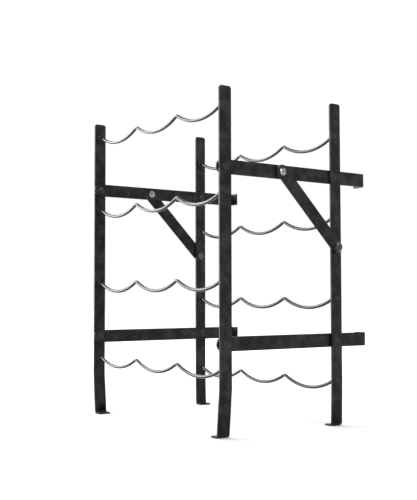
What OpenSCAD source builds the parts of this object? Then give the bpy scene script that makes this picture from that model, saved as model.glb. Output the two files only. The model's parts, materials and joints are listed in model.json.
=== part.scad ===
// Folding bottle rack: two ladder frames of flat bar and waved rod, joined by four
// pivoting side rails and locked open by two hooked struts.
// Front of the rack (bottle necks) faces -Y, +X is to the right, the feet stand on Z = 0.

/* [Overall] */
// Width over the outer faces of the uprights
rack_w = 347; // [300:1:420]
// Distance between the front and the back pivots
frame_gap = 204; // [170:1:250]

/* [Flat bar] */
// Width of the uprights and rails
bar_w = 20; // [16:0.5:24]
// Thickness of the uprights and rails
bar_t = 2.5; // [2:0.25:3]
// Radius of the rounded top corners of an upright
top_corner_r = 4; // [2:0.5:6]
// Inside radius of the bends at the feet and at the rail tabs
bend_r = 2.5; // [1.5:0.5:4]

/* [Feet] */
// Height at which the lower leg starts to lean inwards
knee_z = 65; // [50:1:72]
// How far a front leg leans inwards by the time it meets the floor
front_leg_lean = 6; // [1:0.5:10]
// How far a back leg leans inwards by the time it meets the floor
back_leg_lean = 1.5; // [1:0.5:10]
// Length of the foot flange, bend included
foot_l = 15; // [10:0.5:20]

/* [Shelves] */
// Height from one level to the next
level_pitch = 120; // [100:1:145]
// Height of the ends of the lowest front wire
front_wire_z = 92; // [90:1:100]
// Height of the uprights above the ends of the top front wire
head_room = 23; // [20:1:60]
// How much lower the back wires sit than the front wires
wire_drop = 26; // [20:1:26]
// Diameter of the rod
wire_d = 5; // [4:0.5:6]
// Number of troughs in a wire
trough_count = 3; // [2:1:4]
// Depth of a trough
trough_depth = 14; // [10:0.5:18]
// Radius of a crest, along the middle of the rod
crest_r = 8; // [5:0.5:12]
// Straight tail at each end, inside the upright
wire_tail = 3; // [2:0.5:6]

/* [Rails] */
// Height of the lower pivots
rail_z = 125; // [123:1:130]
// How far a rail reaches in front of its pivot
rail_nose = 12; // [10:0.5:14]
// How far a rail reaches behind its back pivot
rail_overhang = 65; // [58:0.5:66]
// Length of the tab bent inwards at the back of a rail
tab_l = 22; // [12:0.5:26]

/* [Struts] */
// Distance from the back pivot forward to the strut pivot
strut_run = 104.5; // [92:0.5:110]
// Distance from the upper pivot down to the clamp stud
strut_fall = 103.5; // [95:0.5:110]
// Width of a strut
strut_w = 20; // [17:0.5:22]
// Thickness of a strut
strut_t = 2.5; // [1.5:0.1:3]

/* [Fasteners] */
// Radius of the rivets
rivet_r = 3; // [2:0.25:4]
// Radius of a rivet head
rivet_head_r = 5.5; // [5:0.25:7]
// Height of a rivet head
rivet_head_h = 2; // [1:0.25:3]
// Outer radius of the spacers between the rails and the uprights
spacer_r = 7; // [6:0.25:8]
// Thickness of the spacers between the rails and the uprights
spacer_t = 1; // [0.5:0.25:3]
// Radius of the shoulder that keeps a strut off its rail
shoulder_r = 6; // [5:0.25:7]
// Radius of the clamp studs
stud_r = 3; // [2:0.25:4]
// Radius of the heads of the clamp studs
stud_head_r = 6; // [5:0.25:7]
// Thickness of the heads of the clamp studs
stud_head_t = 1.2; // [0.75:0.05:1.2]
// Radius of the clamp knobs
knob_r = 7; // [6:0.25:10]
// Height of the clamp knobs
knob_h = 6; // [5:0.25:10]
// Height of the straight barrel under the dome of a clamp knob
knob_barrel_h = 2; // [1:0.25:3]
// Thickness of a clamp knob over the end of its bore
knob_crown_t = 2.5; // [2:0.25:3]
// Radius of the washers under the clamp knobs
washer_r = 8; // [6:0.25:10]
// Thickness of the washers under the clamp knobs
washer_t = 1; // [0.5:0.25:2]

/* [Fits] */
// Radial clearance of a pivot hole on its rivet
pivot_play = 0.05; // [0.02:0.01:0.1]
// Gap on each side of a strut
side_play = 0.4; // [0.3:0.1:0.8]
// Gap between parts that turn on one another
face_play = 0.2; // [0.1:0.05:0.3]
// Gap between a hook and its stud
hook_play = 0.4; // [0.3:0.1:0.6]
// Gap between the end of a clamp stud and the end of its bore
bore_play = 0.5; // [0.3:0.1:1]

/* [Hidden] */
$fn = 48;

// how far a cutting shape runs past the piece that it cuts
over = 1;
// the box of the whole rack is centred on the origin from front to back
rack_l = rail_nose + frame_gap + rail_overhang;
front_y = rail_nose - rack_l / 2;
back_y = front_y + frame_gap;

// layers as distances from the middle plane: the rails lie inside the uprights
outer_x = rack_w / 2;
inner_x = outer_x - bar_t;
rail_x = inner_x - spacer_t - face_play;
rail_in_x = rail_x - bar_t;
// and the struts outside them, each under its washer and knob
strut_x = outer_x + side_play;
strut_out_x = strut_x + strut_t;
washer_x = strut_out_x + side_play;
knob_x = washer_x + washer_t;
knob_bore_x = knob_x + knob_h - knob_crown_t;

// heights
level_count = 4;
rack_h = front_wire_z + (level_count - 1) * level_pitch + head_room;
// the upper rails lie two levels above the lower ones
upper_z = rail_z + 2 * level_pitch;
rail_heights = [rail_z, upper_z];
front_wire_heights = [for (i = [0 : level_count - 1]) front_wire_z + i * level_pitch];
back_wire_heights = [for (z = front_wire_heights) z - wire_drop];

// strut line, seen from the right
strut_l = sqrt(strut_run * strut_run + strut_fall * strut_fall);
strut_dip = atan2(strut_fall, strut_run);
strut_pivot_y = back_y - strut_run;
clamp_z = upper_z - strut_fall;
// the hook opens upwards and back, square to the strut but for this slant
hook_slant = 26;
hook_r = stud_r + hook_play;

// outside radius of the bends in the flat bar
bend_out_r = bend_r + bar_t;

// waved rod: shallow trough arcs joined tangentially by small crest arcs
trough_half = (rack_w - 2 * bar_t - 2 * wire_tail) / trough_count / 2;
arc_sum = (trough_half * trough_half + trough_depth * trough_depth) / (2 * trough_depth);
trough_r = arc_sum - crest_r;
arc_angle = asin(trough_half / arc_sum);
// a ball this much larger than the rod closes each joint between two arcs
joint_swell = 0.02;

// ---------- helpers ----------

// turns a shape drawn in XY, seen from the right with +X along the rack's +Y, upright
module seen_from_right(x) {
    translate([x, 0, 0]) rotate([90, 0, 90]) children();
}

// a piece made for the right side, put on the side that is asked for
module on_side(side) {
    if (side > 0) children(); else mirror([1, 0, 0]) children();
}

// a plate lying between two distances from the middle plane, drawn as seen from the right
module side_plate(x, t) {
    seen_from_right(x) linear_extrude(t) children();
}

// a cylinder across the rack, from x0 outwards to x1
module cross_pin(x0, x1, y, z, r) {
    translate([x0, y, z]) rotate([0, 90, 0]) cylinder(r = r, h = x1 - x0);
}

// a low dome standing on z = 0
module dome(r, h) {
    ball_r = (r * r + h * h) / (2 * h);
    intersection() {
        translate([0, 0, h - ball_r]) sphere(ball_r, $fn = 96);
        cylinder(r = r + over, h = h + over);
    }
}

// sector of a ring between two angles, drawn round the origin
module ring_sector(r_in, r_out, a0, a1) {
    far = 2 * r_out;
    mid = (a0 + a1) / 2;
    intersection() {
        difference() {
            circle(r_out);
            circle(r_in);
        }
        polygon([[0, 0], far * [cos(a0), sin(a0)], far * [cos(mid), sin(mid)],
            far * [cos(a1), sin(a1)]]);
    }
}

// ---------- uprights ----------

// an upright seen from the front, its outer face at x = 0 above the knee
module upright_profile(lean) {
    lean_angle = atan2(lean, knee_z);
    lean_l = (knee_z + bend_out_r * sin(lean_angle) - bend_out_r) / cos(lean_angle);
    foot_x = -lean_l * sin(lean_angle) - bend_out_r * cos(lean_angle);
    down = [-sin(lean_angle), -cos(lean_angle)];
    inward = [-cos(lean_angle), sin(lean_angle)];
    knee = [0, knee_z];
    polygon([
        [0, rack_h], [-bar_t, rack_h],
        [-bar_t, knee_z - bar_t * tan(lean_angle / 2)],
        knee + lean_l * down + bar_t * inward,
        knee + lean_l * down,
        knee]);
    translate([foot_x, bend_out_r]) ring_sector(bend_r, bend_out_r, -90, -lean_angle);
    translate([-foot_l + foot_x + bend_out_r, 0]) square([foot_l - bend_out_r, bar_t]);
}

// an upright seen from the side, with its rounded top
module upright_outline(y) {
    translate([y - bar_w / 2, -over]) square([bar_w, rack_h + over - top_corner_r]);
    translate([y - bar_w / 2 + top_corner_r, 0]) square([bar_w - 2 * top_corner_r, rack_h]);
    for (side = [-1, 1])
        translate([y + side * (bar_w / 2 - top_corner_r), rack_h - top_corner_r])
            circle(top_corner_r);
}

module upright(y, lean, wire_heights) {
    reach = 2 * foot_l + lean;
    difference() {
        intersection() {
            translate([outer_x, y + bar_w / 2, 0]) rotate([90, 0, 0])
                linear_extrude(bar_w) upright_profile(lean);
            side_plate(outer_x - reach, reach + over) upright_outline(y);
        }
        for (z = wire_heights) cross_pin(inner_x - over, outer_x + over, y, z, wire_d / 2);
        for (z = rail_heights) cross_pin(inner_x - over, outer_x + over, y, z, rivet_r);
    }
}

module front_upright(side) {
    color("#2b2b2d") on_side(side) upright(front_y, front_leg_lean, front_wire_heights);
}

module back_upright(side) {
    color("#2b2b2d") on_side(side) difference() {
        upright(back_y, back_leg_lean, back_wire_heights);
        cross_pin(inner_x - over, outer_x + over, back_y, clamp_z, stud_r);
    }
}

// ---------- waved rod ----------

// part of a ring of rod standing in the XZ plane
module rod_arc(x, z, r, a0, a1) {
    translate([x, 0, z]) rotate([90, 0, 0]) rotate([0, 0, a0])
        rotate_extrude(angle = a1 - a0, $fn = 96) translate([r, 0]) circle(d = wire_d, $fn = 32);
}

module rod_joint(x, z) {
    translate([x, 0, z]) sphere(wire_d / 2 + joint_swell, $fn = 96);
}

module wave_wire(y, end_z) {
    half_l = trough_count * trough_half;
    joint_x = trough_r * sin(arc_angle);
    joint_z = trough_r - trough_depth - trough_r * cos(arc_angle);
    color("#303032") translate([0, y, end_z]) {
        for (i = [0 : trough_count - 1])
            rod_arc(-half_l + (2 * i + 1) * trough_half, trough_r - trough_depth, trough_r,
                -90 - arc_angle, -90 + arc_angle);
        for (i = [0 : trough_count])
            rod_arc(-half_l + 2 * i * trough_half, -crest_r, crest_r,
                i == trough_count ? 90 : 90 - arc_angle, i == 0 ? 90 : 90 + arc_angle);
        for (side = [-1, 1]) {
            translate([side > 0 ? half_l : -outer_x, 0, 0]) rotate([0, 90, 0])
                cylinder(d = wire_d, h = outer_x - half_l, $fn = 32);
            rod_joint(side * half_l, 0);
            for (i = [0 : trough_count - 1])
                rod_joint(-half_l + (2 * i + 1) * trough_half + side * joint_x, joint_z);
        }
    }
}

// ---------- rails ----------

// a rail seen from above, its outer face at x = 0
module rail_plan() {
    tail_y = back_y + rail_overhang;
    translate([-bar_t, front_y - rail_nose]) square([bar_t, rack_l - bend_out_r]);
    translate([-bend_out_r, tail_y - bend_out_r]) ring_sector(bend_r, bend_out_r, 0, 90);
    translate([-tab_l, tail_y - bar_t]) square([tab_l - bend_out_r, bar_t]);
}

// a rail seen from the side, with its round nose
module rail_outline(z) {
    nose_y = front_y - rail_nose + bar_w / 2;
    translate([nose_y, z]) circle(bar_w / 2);
    translate([nose_y, z - bar_w / 2]) square([rack_l, bar_w]);
}

module rail(side, z) {
    color("#2b2b2d") on_side(side) difference() {
        intersection() {
            translate([rail_x, 0, z - bar_w / 2]) linear_extrude(bar_w) rail_plan();
            side_plate(rail_x - tab_l - over, tab_l + 2 * over) rail_outline(z);
        }
        for (y = [front_y, back_y])
            cross_pin(rail_in_x - over, rail_x + over, y, z, rivet_r + pivot_play);
        if (z == upper_z)
            cross_pin(rail_in_x - over, rail_x + over, strut_pivot_y, z, rivet_r);
    }
}

// ---------- rivets and spacers ----------

// a rail rivet: domed head inside the rail, shank closed flush with the upright
module rail_rivet(y, z) {
    head_x = rail_in_x - face_play;
    cross_pin(head_x, outer_x, y, z, rivet_r);
    translate([head_x, y, z]) rotate([0, -90, 0]) dome(rivet_head_r, rivet_head_h);
}

module rail_rivets(y) {
    color("#242426") for (side = [-1, 1], z = rail_heights) on_side(side) rail_rivet(y, z);
}

// the thin spacers between the uprights and the rails
module rail_spacers(y) {
    color("#3a3a3c") for (side = [-1, 1], z = rail_heights) on_side(side)
        difference() {
            cross_pin(rail_x + face_play, inner_x, y, z, spacer_r);
            cross_pin(rail_x, inner_x + over, y, z, rivet_r + pivot_play);
        }
}

// ---------- struts and clamps ----------

// a strut seen from the right, its pivot at the origin and its length along +X
module strut_outline() {
    translate([0, -strut_w / 2]) square([strut_l, strut_w]);
    for (x = [0, strut_l]) translate([x, 0]) circle(strut_w / 2);
}

// the open hook: a round seat for the stud with a mouth in the upper edge
module hook_cut() {
    translate([strut_l, 0]) {
        circle(hook_r);
        rotate(90 + hook_slant) translate([0, -hook_r]) square([strut_w, 2 * hook_r]);
    }
}

module strut(side) {
    color("#2d2d2f") on_side(side) difference() {
        translate([strut_x, strut_pivot_y, upper_z]) rotate([90, 0, 90])
            linear_extrude(strut_t) rotate(-strut_dip) difference() {
                strut_outline();
                hook_cut();
            }
        cross_pin(strut_x - over, strut_out_x + over, strut_pivot_y, upper_z,
            rivet_r + pivot_play);
    }
}

// the bright rivet that a strut turns on, with a shoulder that keeps it off the rail
module strut_rivet(side) {
    head_x = strut_out_x + face_play;
    color("#b9bbbd") on_side(side) {
        cross_pin(rail_in_x, head_x, strut_pivot_y, upper_z, rivet_r);
        cross_pin(rail_x, strut_x - face_play, strut_pivot_y, upper_z, shoulder_r);
        translate([head_x, strut_pivot_y, upper_z]) rotate([0, 90, 0])
            dome(rivet_head_r, rivet_head_h);
        translate([rail_in_x, strut_pivot_y, upper_z]) rotate([0, -90, 0])
            dome(rivet_head_r, rivet_head_h / 2);
    }
}

// the stud fixed in the back upright by its flat head; the hook hangs on it
module clamp_stud(side) {
    color("#3a3a3c") on_side(side) {
        cross_pin(inner_x - stud_head_t, knob_bore_x - bore_play, back_y, clamp_z, stud_r);
        cross_pin(inner_x - stud_head_t, inner_x, back_y, clamp_z, stud_head_r);
    }
}

// the washer between a strut and its knob
module clamp_washer(side) {
    color("#3a3a3c") on_side(side) difference() {
        cross_pin(washer_x, knob_x, back_y, clamp_z, washer_r);
        cross_pin(washer_x - over, knob_x + over, back_y, clamp_z, stud_r + pivot_play);
    }
}

// a low round knob: a short barrel under a dome, with a blind bore for the stud
module clamp_knob(side) {
    barrel_end_x = knob_x + knob_barrel_h;
    color("#1f1f21") on_side(side) difference() {
        union() {
            cross_pin(knob_x, barrel_end_x, back_y, clamp_z, knob_r);
            translate([barrel_end_x, back_y, clamp_z]) rotate([0, 90, 0])
                dome(knob_r, knob_h - knob_barrel_h);
        }
        cross_pin(knob_x - over, knob_bore_x, back_y, clamp_z, stud_r + pivot_play);
    }
}

// ---------- nodes ----------

front_upright(-1);  // front_left_upright
front_upright(1);  // front_right_upright
back_upright(-1);  // back_left_upright
back_upright(1);  // back_right_upright
wave_wire(front_y, front_wire_heights[0]);  // front_wire_1
wave_wire(front_y, front_wire_heights[1]);  // front_wire_2
wave_wire(front_y, front_wire_heights[2]);  // front_wire_3
wave_wire(front_y, front_wire_heights[3]);  // front_wire_4
wave_wire(back_y, back_wire_heights[0]);  // back_wire_1
wave_wire(back_y, back_wire_heights[1]);  // back_wire_2
wave_wire(back_y, back_wire_heights[2]);  // back_wire_3
wave_wire(back_y, back_wire_heights[3]);  // back_wire_4
rail(-1, upper_z);  // upper_left_rail
rail(1, upper_z);  // upper_right_rail
rail(-1, rail_z);  // lower_left_rail
rail(1, rail_z);  // lower_right_rail
strut(-1);  // left_strut
strut(1);  // right_strut
strut_rivet(-1);  // left_strut_rivet
strut_rivet(1);  // right_strut_rivet
rail_rivets(front_y);  // front_rivets
rail_rivets(back_y);  // back_rivets
rail_spacers(front_y);  // front_spacers
rail_spacers(back_y);  // back_spacers
clamp_stud(-1);  // left_clamp_stud
clamp_stud(1);  // right_clamp_stud
clamp_washer(-1);  // left_clamp_washer
clamp_washer(1);  // right_clamp_washer
clamp_knob(-1);  // left_clamp_knob
clamp_knob(1);  // right_clamp_knob
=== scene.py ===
import json
import math

import bmesh
import bpy
from mathutils import Matrix, Vector


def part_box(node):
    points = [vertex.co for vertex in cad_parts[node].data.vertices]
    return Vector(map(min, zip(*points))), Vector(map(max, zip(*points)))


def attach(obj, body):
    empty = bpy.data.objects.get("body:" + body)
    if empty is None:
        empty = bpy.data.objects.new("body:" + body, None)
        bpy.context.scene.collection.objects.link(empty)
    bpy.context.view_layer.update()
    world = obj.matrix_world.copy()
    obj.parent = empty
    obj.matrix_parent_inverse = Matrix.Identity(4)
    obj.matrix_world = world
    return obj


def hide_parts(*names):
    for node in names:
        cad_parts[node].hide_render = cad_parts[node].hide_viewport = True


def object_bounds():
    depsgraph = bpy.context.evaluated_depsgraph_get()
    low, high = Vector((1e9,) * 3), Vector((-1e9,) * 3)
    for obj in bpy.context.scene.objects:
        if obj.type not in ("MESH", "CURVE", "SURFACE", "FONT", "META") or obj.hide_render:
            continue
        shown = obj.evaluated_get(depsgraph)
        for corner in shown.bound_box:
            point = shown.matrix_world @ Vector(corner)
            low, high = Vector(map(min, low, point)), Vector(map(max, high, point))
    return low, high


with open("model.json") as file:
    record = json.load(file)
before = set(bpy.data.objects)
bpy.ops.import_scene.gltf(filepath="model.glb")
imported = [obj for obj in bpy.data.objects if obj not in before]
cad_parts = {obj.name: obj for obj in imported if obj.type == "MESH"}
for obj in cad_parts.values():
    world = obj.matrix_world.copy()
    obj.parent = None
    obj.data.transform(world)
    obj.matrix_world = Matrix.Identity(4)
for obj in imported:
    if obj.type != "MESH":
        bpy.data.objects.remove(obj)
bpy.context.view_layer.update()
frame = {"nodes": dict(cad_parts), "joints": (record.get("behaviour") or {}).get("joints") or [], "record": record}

MM = 0.001
SIDES = {"right": 1, "left": -1}
ENDS = ("front", "back")
NODE_BODY = {node: body for body, nodes in frame["record"]["behaviour"]["bodies"].items()
             for node in nodes}


# ---------- places and sizes, read from the frame ----------

def middle(node):
    low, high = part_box(node)
    return (low + high) / 2


def joint_place(name):
    return Vector(next(j["pos_m"] for j in frame["joints"] if j["name"] == name))


OUTER_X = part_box("back_right_upright")[1].x
RAIL_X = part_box("lower_right_rail")[1].x
STRUT_OUT_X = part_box("right_strut")[1].x
BAR_T = 2.5 * MM
INNER_X = OUTER_X - BAR_T
PIVOT_Y = {end: middle(f"{end}_right_upright").y for end in ENDS}
RAIL_Z = [joint_place("lower_right_rail_pivot").z, joint_place("rack_fold").z]
STRUT_PIVOT = joint_place("right_strut_swing")
CLAMP = joint_place("right_knob_turn")

ROD_R = 2.5 * MM
CREST_R = 8 * MM
TAIL = 3 * MM
TROUGHS = 3
ROD_SIDES = 24
CREST_STEPS = 6
TROUGH_STEPS = 36
RIVET_R = 3.0 * MM
HEAD_R = 5.5 * MM
BORE_R = 3.05 * MM
FACE_GAP = 0.2 * MM

# how far sharp edges are rounded over
BAR_EASE = 0.45 * MM
STEEL_EASE = 0.2 * MM
RIVET_EASE = 0.15 * MM

# angles between faces: up to the first they count as flat, from the second as an edge
FLAT = math.radians(0.5)
SHARP = math.radians(40)
EASED_SHARP = math.radians(50)


# ---------- shader maths ----------

class Value:
    """A socket of a finish's node tree, so that shader maths reads as plain expressions."""

    def __init__(self, finish, socket):
        self.finish = finish
        self.socket = socket

    def maths(self, operation, *values):
        return self.finish.node("ShaderNodeMath", {"operation": operation}, *values)

    def __add__(self, other):
        return self.maths("ADD", self, other)

    def __radd__(self, other):
        return self.maths("ADD", other, self)

    def __sub__(self, other):
        return self.maths("SUBTRACT", self, other)

    def __mul__(self, other):
        return self.maths("MULTIPLY", self, other)

    def between(self, low, high):
        """0 below low, 1 above high, smooth in between."""
        return self.finish.node("ShaderNodeMapRange", {"interpolation_type": "SMOOTHSTEP"},
                                self, low, high, 0.0, 1.0)


class Finish:
    """One procedural material."""

    def __init__(self, name):
        self.material = bpy.data.materials.new(name)
        self.material.use_nodes = True
        self.tree = self.material.node_tree
        self.tree.nodes.clear()

    def put(self, socket, value):
        if isinstance(value, Value):
            self.tree.links.new(value.socket, socket)
        else:
            socket.default_value = value

    def node(self, kind, settings=None, *values, out=0, **named):
        made = self.tree.nodes.new(kind)
        for key, value in (settings or {}).items():
            setattr(made, key, value)
        for index, value in enumerate(values):
            self.put(made.inputs[index], value)
        for key, value in named.items():
            self.put(made.inputs[key.replace("_", " ")], value)
        return Value(self, made.outputs[out])

    def place(self):
        return self.node("ShaderNodeTexCoord", out=3)

    def stretched(self, scale):
        return self.node("ShaderNodeMapping", {}, Vector=self.place(), Scale=scale)

    def noise(self, scale, detail=2.0, roughness=0.5, vector=None):
        return self.node("ShaderNodeTexNoise", {}, Vector=vector or self.place(), Scale=scale,
                         Detail=detail, Roughness=roughness)

    def attribute(self, name):
        return self.node("ShaderNodeAttribute", {"attribute_name": name}, out=2)

    def mix(self, mask, low, high):
        made = self.tree.nodes.new("ShaderNodeMix")
        made.data_type = "RGBA"
        self.put(made.inputs[0], mask)
        self.put(made.inputs[6], low)
        self.put(made.inputs[7], high)
        return Value(self, made.outputs[2])

    def bump(self, height, distance, strength=1.0):
        return self.node("ShaderNodeBump", {}, Height=height, Distance=distance,
                         Strength=strength)

    def surface(self, **sockets):
        shader = self.node("ShaderNodeBsdfPrincipled", {}, **sockets)
        end = self.tree.nodes.new("ShaderNodeOutputMaterial")
        self.tree.links.new(shader.socket, end.inputs["Surface"])
        return self.material


def grey(level, tint=0.0):
    return (level, level, level * (1 + tint), 1)


# ---------- finishes ----------

def coated_bar():
    """Satin black powder coat: fine orange peel, faintly uneven gloss, edges rubbed lighter."""
    f = Finish("coated_bar")
    clouds = f.noise(30, 2)
    grain = f.noise(420, 3)
    peel = f.noise(1500, 2)
    specks = f.noise(520, 2).between(0.68, 0.76)
    rubbed = f.attribute("edge") * f.noise(60, 3, 0.6).between(0.38, 0.70)
    tone = f.mix(clouds, grey(0.0052, 0.06), grey(0.0056, 0.06))
    tone = f.mix(specks * 0.12, tone, grey(0.012))
    tone = f.mix(rubbed * 0.4, tone, grey(0.045))
    return f.surface(Base_Color=tone, Specular_IOR_Level=0.13,
                     Roughness=0.33 + grain * 0.02 - rubbed * 0.05,
                     Normal=f.bump(peel + specks * 0.3, 0.00001, 0.12))


def coated_rod():
    """Glossier black coat on the rod, with a thin haze along it."""
    f = Finish("coated_rod")
    haze = f.noise(70, 3, 0.6)
    peel = f.noise(1300, 2)
    worn = f.noise(160, 4, 0.7).between(0.66, 0.74)
    tone = f.mix(haze, grey(0.004, 0.04), grey(0.006, 0.04))
    tone = f.mix(worn * 0.4, tone, grey(0.025))
    return f.surface(Base_Color=tone, Specular_IOR_Level=0.3,
                     Roughness=0.24 + haze * 0.04 + worn * 0.06,
                     Normal=f.bump(peel, 0.00001, 0.15))


def coated_fastener():
    """The same coat over closed rivets and welds, thicker and more uneven; its lighter rubbed patches are partly
    wear and partly painted glints.
    """
    f = Finish("coated_fastener")
    lumps = f.noise(600, 3)
    # lighter rubbed patches: partly wear on the coat, partly painted glints on the rivet heads and welds
    rubbed = f.noise(900, 3, 0.6).between(0.52, 0.66)
    tone = f.mix(rubbed * 0.6, grey(0.005, 0.03), grey(0.03))
    return f.surface(Base_Color=tone, Specular_IOR_Level=0.3, Roughness=0.2 + lumps * 0.1,
                     Normal=f.bump(lumps, 0.00008, 0.5))


def dark_steel():
    """Dark oxide on steel, finely grained."""
    f = Finish("dark_steel")
    grain = f.noise(900, 3)
    tone = f.mix(grain, grey(0.05), grey(0.11))
    return f.surface(Base_Color=tone, Metallic=0.9, Roughness=0.22 + grain * 0.12,
                     Normal=f.bump(grain, 0.00002, 0.5))


def bright_zinc():
    """Zinc plate gone dull, with fine scratches and brighter patches."""
    f = Finish("bright_zinc")
    patches = f.noise(500, 3).between(0.42, 0.6)
    scratches = f.noise(240, 3, 0.6, f.stretched((1, 9, 1)))
    tone = f.mix(patches, grey(0.12, 0.03), grey(0.42, 0.02))
    return f.surface(Base_Color=tone, Metallic=1.0, Roughness=0.16 + patches * 0.12,
                     Normal=f.bump(scratches + patches * 0.5, 0.00008, 0.6))


def knob_plastic():
    """Glossy black moulded plastic with faint flow marks and handling haze."""
    f = Finish("knob_plastic")
    flow = f.noise(420, 3, 0.5, f.stretched((1, 1, 2)))
    haze = f.noise(700, 3).between(0.5, 0.7)
    tone = f.mix(haze, grey(0.003), grey(0.008, 0.03))
    return f.surface(Base_Color=tone, Specular_IOR_Level=0.35, Roughness=0.08 + haze * 0.12,
                     Coat_Weight=0.4, Normal=f.bump(flow, 0.00010, 0.5))


def studio_floor():
    """Pale paper that turns into its own light further out, so that no horizon shows."""
    f = Finish("studio_floor")
    paper = f.noise(5, 3)
    away = f.node("ShaderNodeVectorMath", {"operation": "LENGTH"}, f.place(), out=1)
    glow = f.mix(away.between(0.3, 1.6), grey(0.0), grey(0.6))
    return f.surface(Base_Color=f.mix(paper, grey(0.56, 0.01), grey(0.58, 0.01)),
                     Roughness=0.6 + paper * 0.1, Specular_IOR_Level=0.2,
                     Emission_Color=glow, Emission_Strength=1.0)


BAR = coated_bar()
ROD = coated_rod()
FASTENER = coated_fastener()
DARK = dark_steel()
BRIGHT = bright_zinc()
KNOB = knob_plastic()


# ---------- making pieces ----------

def new_piece(name, mesh, material):
    piece = bpy.data.objects.new(name, mesh)
    bpy.context.scene.collection.objects.link(piece)
    mesh.materials.clear()
    mesh.materials.append(material)
    return piece


def mesh_from(name, form):
    mesh = bpy.data.meshes.new(name)
    form.to_mesh(mesh)
    form.free()
    return mesh


def hand_over(piece, body, slot, *nodes):
    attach(piece, body)
    if nodes:
        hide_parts(*nodes)


def eased_copy(node, material, width, slot):
    """A copy of a CAD node whose sharp edges are rounded over; the rounds carry "edge" = 1."""
    form = bmesh.new()
    form.from_mesh(frame["nodes"][node].data)
    bmesh.ops.remove_doubles(form, verts=form.verts, dist=0.002 * MM)
    bmesh.ops.dissolve_limit(form, angle_limit=FLAT, verts=form.verts, edges=form.edges)
    sharp = [e for e in form.edges if e.is_manifold and e.calc_face_angle() > SHARP]
    made = bmesh.ops.bevel(form, geom=sharp, offset=width, offset_type="OFFSET", segments=3,
                           profile=0.5, affect="EDGES", clamp_overlap=True)
    edge = form.loops.layers.float_color.new("edge")
    for face in made["faces"]:
        for loop in face.loops:
            loop[edge] = (1, 1, 1, 1)
    bmesh.ops.triangulate(form, faces=form.faces)
    for face in form.faces:
        face.smooth = True
    mesh = mesh_from(f"{node}_finish", form)
    piece = new_piece(f"{node}_finish", mesh, material)
    smooth = piece.modifiers.new("corners", "WEIGHTED_NORMAL")
    smooth.keep_sharp = True
    mesh.set_sharp_from_angle(angle=EASED_SHARP)
    hand_over(piece, NODE_BODY[node], slot, node)
    return piece


def turned(name, outline, centre, side, material, steps=64):
    """A piece turned about the X axis; outline holds (distance outwards, radius) pairs."""
    form = bmesh.new()
    rings = []
    for along, radius in outline:
        if radius == 0:
            rings.append([form.verts.new((side * along, 0, 0))])
            continue
        angles = [2 * math.pi * step / steps for step in range(steps)]
        rings.append([form.verts.new((side * along, radius * math.cos(a), radius * math.sin(a)))
                      for a in angles])
    for one, two in zip(rings, rings[1:]):
        for step in range(steps):
            after = (step + 1) % steps
            corners = [one[step % len(one)], one[after % len(one)],
                       two[after % len(two)], two[step % len(two)]]
            form.faces.new(list(dict.fromkeys(corners)))
    bmesh.ops.remove_doubles(form, verts=form.verts, dist=0.001 * MM)
    bmesh.ops.recalc_face_normals(form, faces=form.faces)
    for face in form.faces:
        face.smooth = True
    mesh = mesh_from(name, form)
    mesh.transform(Matrix.Translation(centre))
    mesh.set_sharp_from_angle(angle=SHARP)
    return new_piece(name, mesh, material)


def dome_outline(radius, height, steps=8):
    """The rim-to-pole profile of a low dome standing on its rim, from height 0."""
    ball = (radius ** 2 + height ** 2) / (2 * height)
    rim = math.asin(radius / ball)
    angles = [rim * (1 - step / steps) for step in range(steps + 1)]
    return [(ball * math.cos(a) - (ball - height), ball * math.sin(a) if a else 0)
            for a in angles]


# ---------- geometry nodes ----------

class Tree:
    """A Geometry Nodes tree with named inputs."""

    def __init__(self, name, **inputs):
        self.group = bpy.data.node_groups.new(name, "GeometryNodeTree")
        face = self.group.interface
        face.new_socket("Geometry", in_out="INPUT", socket_type="NodeSocketGeometry")
        for key, kind in inputs.items():
            face.new_socket(key.replace("_", " "), in_out="INPUT", socket_type=kind)
        face.new_socket("Geometry", in_out="OUTPUT", socket_type="NodeSocketGeometry")
        self.start = self.group.nodes.new("NodeGroupInput")
        self.end = self.group.nodes.new("NodeGroupOutput")

    def node(self, kind, settings=None, **inputs):
        made = self.group.nodes.new(kind)
        for key, value in (settings or {}).items():
            setattr(made, key, value)
        for key, value in inputs.items():
            socket = made.inputs[key.replace("_", " ")]
            if isinstance(value, bpy.types.NodeSocket):
                self.group.links.new(value, socket)
            else:
                socket.default_value = value
        return made

    def given(self, name):
        return self.start.outputs[name]

    def result(self, socket):
        self.group.links.new(socket, self.end.inputs["Geometry"])

    def applied(self, name, base, material, **values):
        """Runs the tree on base and returns the plain mesh piece that it makes."""
        modifier = base.modifiers.new(name, "NODES")
        modifier.node_group = self.group
        for item in self.group.interface.items_tree:
            if item.in_out == "INPUT" and item.name.replace(" ", "_") in values:
                modifier[item.identifier] = values[item.name.replace(" ", "_")]
        seen = base.evaluated_get(bpy.context.evaluated_depsgraph_get())
        mesh = bpy.data.meshes.new_from_object(seen)
        mesh.name = name
        base.modifiers.remove(modifier)
        bpy.data.objects.remove(base)
        return new_piece(name, mesh, material)


def rod_tree():
    """A rod swept along the base's edges."""
    tree = Tree("rod_along_path", Radius="NodeSocketFloat", Sides="NodeSocketInt",
                Material="NodeSocketMaterial")
    path = tree.node("GeometryNodeMeshToCurve", Mesh=tree.given("Geometry"))
    ring = tree.node("GeometryNodeCurvePrimitiveCircle", Resolution=tree.given("Sides"),
                     Radius=tree.given("Radius"))
    swept = tree.node("GeometryNodeCurveToMesh", Curve=path.outputs[0],
                      Profile_Curve=ring.outputs[0], Fill_Caps=True)
    real = tree.node("GeometryNodeRealizeInstances", Geometry=swept.outputs[0])
    painted = tree.node("GeometryNodeSetMaterial", Geometry=real.outputs[0],
                        Material=tree.given("Material"))
    tree.result(painted.outputs[0])
    return tree


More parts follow.
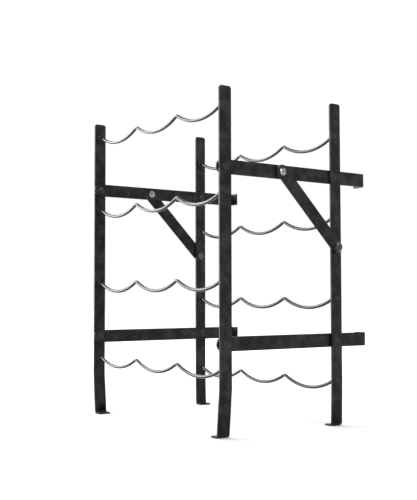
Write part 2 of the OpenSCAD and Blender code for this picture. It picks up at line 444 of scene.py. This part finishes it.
def stud_tree():
    """One copy of a small part on every point of the base, each turned a little differently."""
    tree = Tree("parts_on_points", Part="NodeSocketObject", Turn="NodeSocketVector",
                Seed="NodeSocketInt", Material="NodeSocketMaterial")
    part = tree.node("GeometryNodeObjectInfo", Object=tree.given("Part"))
    spin = tree.node("FunctionNodeRandomValue", {"data_type": "FLOAT"}, Seed=tree.given("Seed"))
    spin.inputs[2].default_value = 0.0
    spin.inputs[3].default_value = 2 * math.pi
    about = tree.node("ShaderNodeCombineXYZ", X=spin.outputs[1])
    turn = tree.node("ShaderNodeVectorMath", {"operation": "ADD"})
    tree.group.links.new(tree.given("Turn"), turn.inputs[0])
    tree.group.links.new(about.outputs[0], turn.inputs[1])
    placed = tree.node("GeometryNodeInstanceOnPoints", Points=tree.given("Geometry"),
                       Instance=part.outputs["Geometry"], Rotation=turn.outputs[0])
    real = tree.node("GeometryNodeRealizeInstances", Geometry=placed.outputs[0])
    painted = tree.node("GeometryNodeSetMaterial", Geometry=real.outputs[0],
                        Material=tree.given("Material"))
    tree.result(painted.outputs[0])
    return tree


ROD_TREE = rod_tree()
STUD_TREE = stud_tree()


def point_base(name, points, edges=()):
    mesh = bpy.data.meshes.new(name)
    mesh.from_pydata(points, edges, [])
    base = bpy.data.objects.new(name, mesh)
    bpy.context.scene.collection.objects.link(base)
    return base


def on_points(name, part, points, side, material, body, slot, seed=1):
    """Copies of part on points that share one side of the rack, as one piece."""
    turn = (0, 0, 0) if side > 0 else (0, 0, math.pi)
    piece = STUD_TREE.applied(name, point_base(name, points), material, Part=part, Turn=turn,
                              Seed=seed, Material=material)
    hand_over(piece, body, slot)
    return piece


# ---------- the waved rods ----------

def arc(centre, radius, start, stop, steps):
    """Points along an arc in the XZ plane, the first one left out."""
    angles = [start + (stop - start) * (i + 1) / steps for i in range(steps)]
    return [centre + radius * Vector((math.cos(a), 0, math.sin(a))) for a in angles]


def wave_path(node):
    """The middle line of a waved rod, fitted to its CAD node's box."""
    low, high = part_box(node)
    y, top = (low.y + high.y) / 2, high.z - ROD_R
    depth = high.z - low.z - 2 * ROD_R
    half_wave = (INNER_X - TAIL) / TROUGHS
    arc_sum = (half_wave ** 2 + depth ** 2) / (2 * depth)
    trough_r = arc_sum - CREST_R
    lean = math.asin(half_wave / arc_sum)
    up, down = math.pi / 2, -math.pi / 2
    start = -half_wave * TROUGHS
    points = [Vector((-OUTER_X, y, top)), Vector((start, y, top))]
    for i in range(TROUGHS):
        crest = Vector((start + 2 * i * half_wave, y, top - CREST_R))
        bottom = Vector((start + (2 * i + 1) * half_wave, y, top - depth + trough_r))
        after = crest + Vector((2 * half_wave, 0, 0))
        points += arc(crest, CREST_R, up, up - lean, CREST_STEPS)
        points += arc(bottom, trough_r, down - lean, down + lean, TROUGH_STEPS)
        points += arc(after, CREST_R, up + lean, up, CREST_STEPS)
    return points + [Vector((OUTER_X, y, top))]


def waved_rod(node):
    points = wave_path(node)
    base = point_base(f"{node}_path", points, [(i, i + 1) for i in range(len(points) - 1)])
    rod = ROD_TREE.applied(f"{node}_rod", base, ROD, Radius=ROD_R, Sides=ROD_SIDES,
                           Material=ROD)
    for face in rod.data.polygons:
        face.use_smooth = True
    rod.data.set_sharp_from_angle(angle=SHARP)
    hand_over(rod, NODE_BODY[node], "black_rod", node)


# ---------- welds and closed rivets ----------

def template(name, outline, material):
    """A small turned part at the origin, pointing along +X, that on_points copies."""
    return turned(name, outline, Vector((0, 0, 0)), 1, material, steps=28)


def weld_collar():
    """A small fillet of weld round a rod where it enters an upright; it stands inwards."""
    return template("weld_collar", [(0.1 * MM, 4.1 * MM), (-0.5 * MM, 3.7 * MM),
                                    (-1.0 * MM, 3.0 * MM), (-1.7 * MM, 2.6 * MM),
                                    (-1.7 * MM, 2.3 * MM), (0.1 * MM, 2.3 * MM),
                                    (0.1 * MM, 4.1 * MM)], FASTENER)


def plug_weld():
    """The low ground-off plug that fills a rod hole on the outer face."""
    return template("plug_weld", [(-0.3 * MM, 0), (-0.3 * MM, 3.3 * MM), (0, 3.3 * MM),
                                  (0.14 * MM, 3.0 * MM), (0.2 * MM, 2.2 * MM),
                                  (0.1 * MM, 1.4 * MM), (0.16 * MM, 0.7 * MM),
                                  (0.18 * MM, 0)], FASTENER)


def closed_head():
    """The flattened closing head of a rail rivet, with the ring left by the closing tool."""
    return template("closed_head", [(-0.3 * MM, 0), (-0.3 * MM, 4.2 * MM), (0, 4.2 * MM),
                                    (0.18 * MM, 3.9 * MM), (0.26 * MM, 3.3 * MM),
                                    (0.25 * MM, 2.7 * MM), (0.08 * MM, 2.3 * MM),
                                    (0.16 * MM, 1.4 * MM), (0.24 * MM, 0.6 * MM),
                                    (0.25 * MM, 0)], FASTENER)


def joints_of_the_frames():
    collar, plug, head = weld_collar(), plug_weld(), closed_head()
    for end in ENDS:
        heights = [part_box(f"{end}_wire_{level}")[1].z - ROD_R for level in range(1, 5)]
        y = PIVOT_Y[end]
        for seed, (word, side) in enumerate(SIDES.items()):
            body = f"{end}_frame"
            inner = [(side * INNER_X, y, z) for z in heights]
            outer = [(side * OUTER_X, y, z) for z in heights]
            rivets = [(side * OUTER_X, y, z) for z in RAIL_Z]
            on_points(f"{end}_{word}_weld_collars", collar, inner, side, FASTENER, body,
                      "black_bar", seed)
            on_points(f"{end}_{word}_plug_welds", plug, outer, side, FASTENER, body,
                      "black_bar", seed + 5)
            on_points(f"{end}_{word}_closed_heads", head, rivets, side, FASTENER, body,
                      "painted_rivet", seed + 9)
    for part in (collar, plug, head):
        bpy.data.objects.remove(part)


# ---------- strut rivets, washers and knobs ----------

def strut_rivet(word, side):
    """A bright button head with a rolled rim and a dimple, on a shank with a shoulder."""
    node = f"{word}_strut_rivet"
    low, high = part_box(node)
    base, tip = sorted((abs(low.x), abs(high.x)))
    shoulder = (high.y - low.y) / 2
    seat = STRUT_OUT_X + FACE_GAP
    rim, dimple_r, dimple_depth = 0.3 * MM, 1.0 * MM, 0.9 * MM
    inside = RAIL_X - BAR_T
    outline = [(inside - along, r) for along, r in reversed(dome_outline(HEAD_R, inside - base))]
    outline += [(inside, RIVET_R), (RAIL_X, RIVET_R), (RAIL_X, shoulder),
                (OUTER_X + FACE_GAP, shoulder), (OUTER_X + FACE_GAP, RIVET_R),
                (seat, RIVET_R), (seat, HEAD_R - rim), (seat + rim, HEAD_R)]
    outline += [(seat + rim + along, r)
                for along, r in dome_outline(HEAD_R, tip - seat - rim, 9)[1:-2]]
    outline += [(tip - 0.1 * MM, 1.4 * MM), (tip - dimple_depth + 0.1 * MM, dimple_r),
                (tip - dimple_depth, 0)]
    centre = Vector((0, STRUT_PIVOT.y, STRUT_PIVOT.z))
    piece = turned(f"{node}_turned", outline, centre, side, BRIGHT)
    hand_over(piece, NODE_BODY[node], "bright_rivet", node)


def clamp_washer(word, side):
    """A plain washer with its outer edges broken."""
    node = f"{word}_clamp_washer"
    low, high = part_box(node)
    near, far = sorted((abs(low.x), abs(high.x)))
    radius = (high.y - low.y) / 2
    ease = 0.25 * MM
    outline = [(near, BORE_R), (near, radius - ease), (near + ease, radius),
               (far - ease, radius), (far, radius - ease), (far, BORE_R), (near, BORE_R)]
    centre = Vector((0, CLAMP.y, CLAMP.z))
    piece = turned(f"{node}_turned", outline, centre, side, DARK)
    hand_over(piece, NODE_BODY[node], "dark_spacer", node)


def clamp_knob(word, side):
    """A low moulded knob: a short barrel with a rolled lower edge under a glossy dome."""
    node = f"{word}_clamp_knob"
    low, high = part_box(node)
    near, far = sorted((abs(low.x), abs(high.x)))
    radius = (high.y - low.y) / 2
    barrel, crown, ease, step = 2.0 * MM, 2.5 * MM, 0.5 * MM, 0.2 * MM
    outline = [(far - crown, 0), (far - crown, BORE_R), (near, BORE_R),
               (near, radius - ease), (near + ease, radius), (near + barrel - ease, radius)]
    outline += [(near + barrel + along, r)
                for along, r in dome_outline(radius - step, far - near - barrel, 12)]
    centre = Vector((0, CLAMP.y, CLAMP.z))
    piece = turned(f"{node}_turned", outline, centre, side, KNOB, steps=96)
    hand_over(piece, NODE_BODY[node], "black_knob", node)


# ---------- the rack ----------

def build_rack():
    bars = [f"{end}_{side}_upright" for end in ENDS for side in SIDES]
    bars += [f"{level}_{side}_rail" for level in ("upper", "lower") for side in SIDES]
    bars += [f"{side}_strut" for side in SIDES]
    for node in bars:
        eased_copy(node, BAR, BAR_EASE, "black_bar")
    for end in ENDS:
        for level in range(1, 5):
            waved_rod(f"{end}_wire_{level}")
        eased_copy(f"{end}_spacers", DARK, STEEL_EASE, "dark_spacer")
        eased_copy(f"{end}_rivets", FASTENER, RIVET_EASE, "painted_rivet")
    joints_of_the_frames()
    for word, side in SIDES.items():
        strut_rivet(word, side)
        clamp_washer(word, side)
        clamp_knob(word, side)
        eased_copy(f"{word}_clamp_stud", DARK, STEEL_EASE, "dark_spacer")


# ---------- studio ----------

def area_light(name, place, aim, size, power):
    light = bpy.data.lights.new(name, "AREA")
    light.shape = "RECTANGLE"
    light.size, light.size_y = size
    light.energy = power
    lamp = bpy.data.objects.new(name, light)
    bpy.context.scene.collection.objects.link(lamp)
    lamp.location = place
    lamp.rotation_euler = (Vector(aim) - Vector(place)).to_track_quat("-Z", "Y").to_euler()


def build_studio():
    low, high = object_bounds()
    aim = (low + high) / 2
    form = bmesh.new()
    bmesh.ops.create_grid(form, x_segments=8, y_segments=8, size=12)
    mesh = mesh_from("floor", form)
    floor = new_piece("floor", mesh, studio_floor())

    # the first two light the front edges and the tops, the last two draw small highlights
    area_light("front_softbox", (-2.0, -1.4, 0.8), aim, (1.6, 1.8), 110)
    area_light("top_softbox", (0.1, -0.1, 2.3), aim, (2.2, 2.2), 30)
    area_light("left_softbox", (-1.8, 0.2, 1.8), aim, (0.8, 0.8), 22)
    area_light("glint_lamp", (2.0, -0.3, 1.6), aim, (0.35, 0.35), 12)

    world = bpy.data.worlds.new("studio")
    bpy.context.scene.world = world
    world.use_nodes = True
    backdrop = world.node_tree.nodes["Background"]
    backdrop.inputs["Color"].default_value = (1, 1, 1, 1)
    backdrop.inputs["Strength"].default_value = 1.03
    bpy.context.scene.view_settings.view_transform = "Standard"


def build_camera():
    """Stands to the front right of the rack, a little under half its height."""
    place = Vector((1.148, PIVOT_Y["front"] - 0.735, 0.187))
    yaw, pitch, roll = math.radians(54.06), math.radians(3.02), math.radians(0.13)
    forward = Vector((-math.sin(yaw) * math.cos(pitch), math.cos(yaw) * math.cos(pitch),
                      math.sin(pitch)))
    data = bpy.data.cameras.new("camera")
    data.sensor_width = 36
    data.lens = 65.5
    camera = bpy.data.objects.new("camera", data)
    bpy.context.scene.collection.objects.link(camera)
    turn = forward.to_track_quat("-Z", "Y").to_matrix().to_4x4()
    camera.matrix_world = Matrix.Translation(place) @ turn @ Matrix.Rotation(-roll, 4, "Z")
    bpy.context.scene.camera = camera


build_camera()
build_rack()
build_studio()
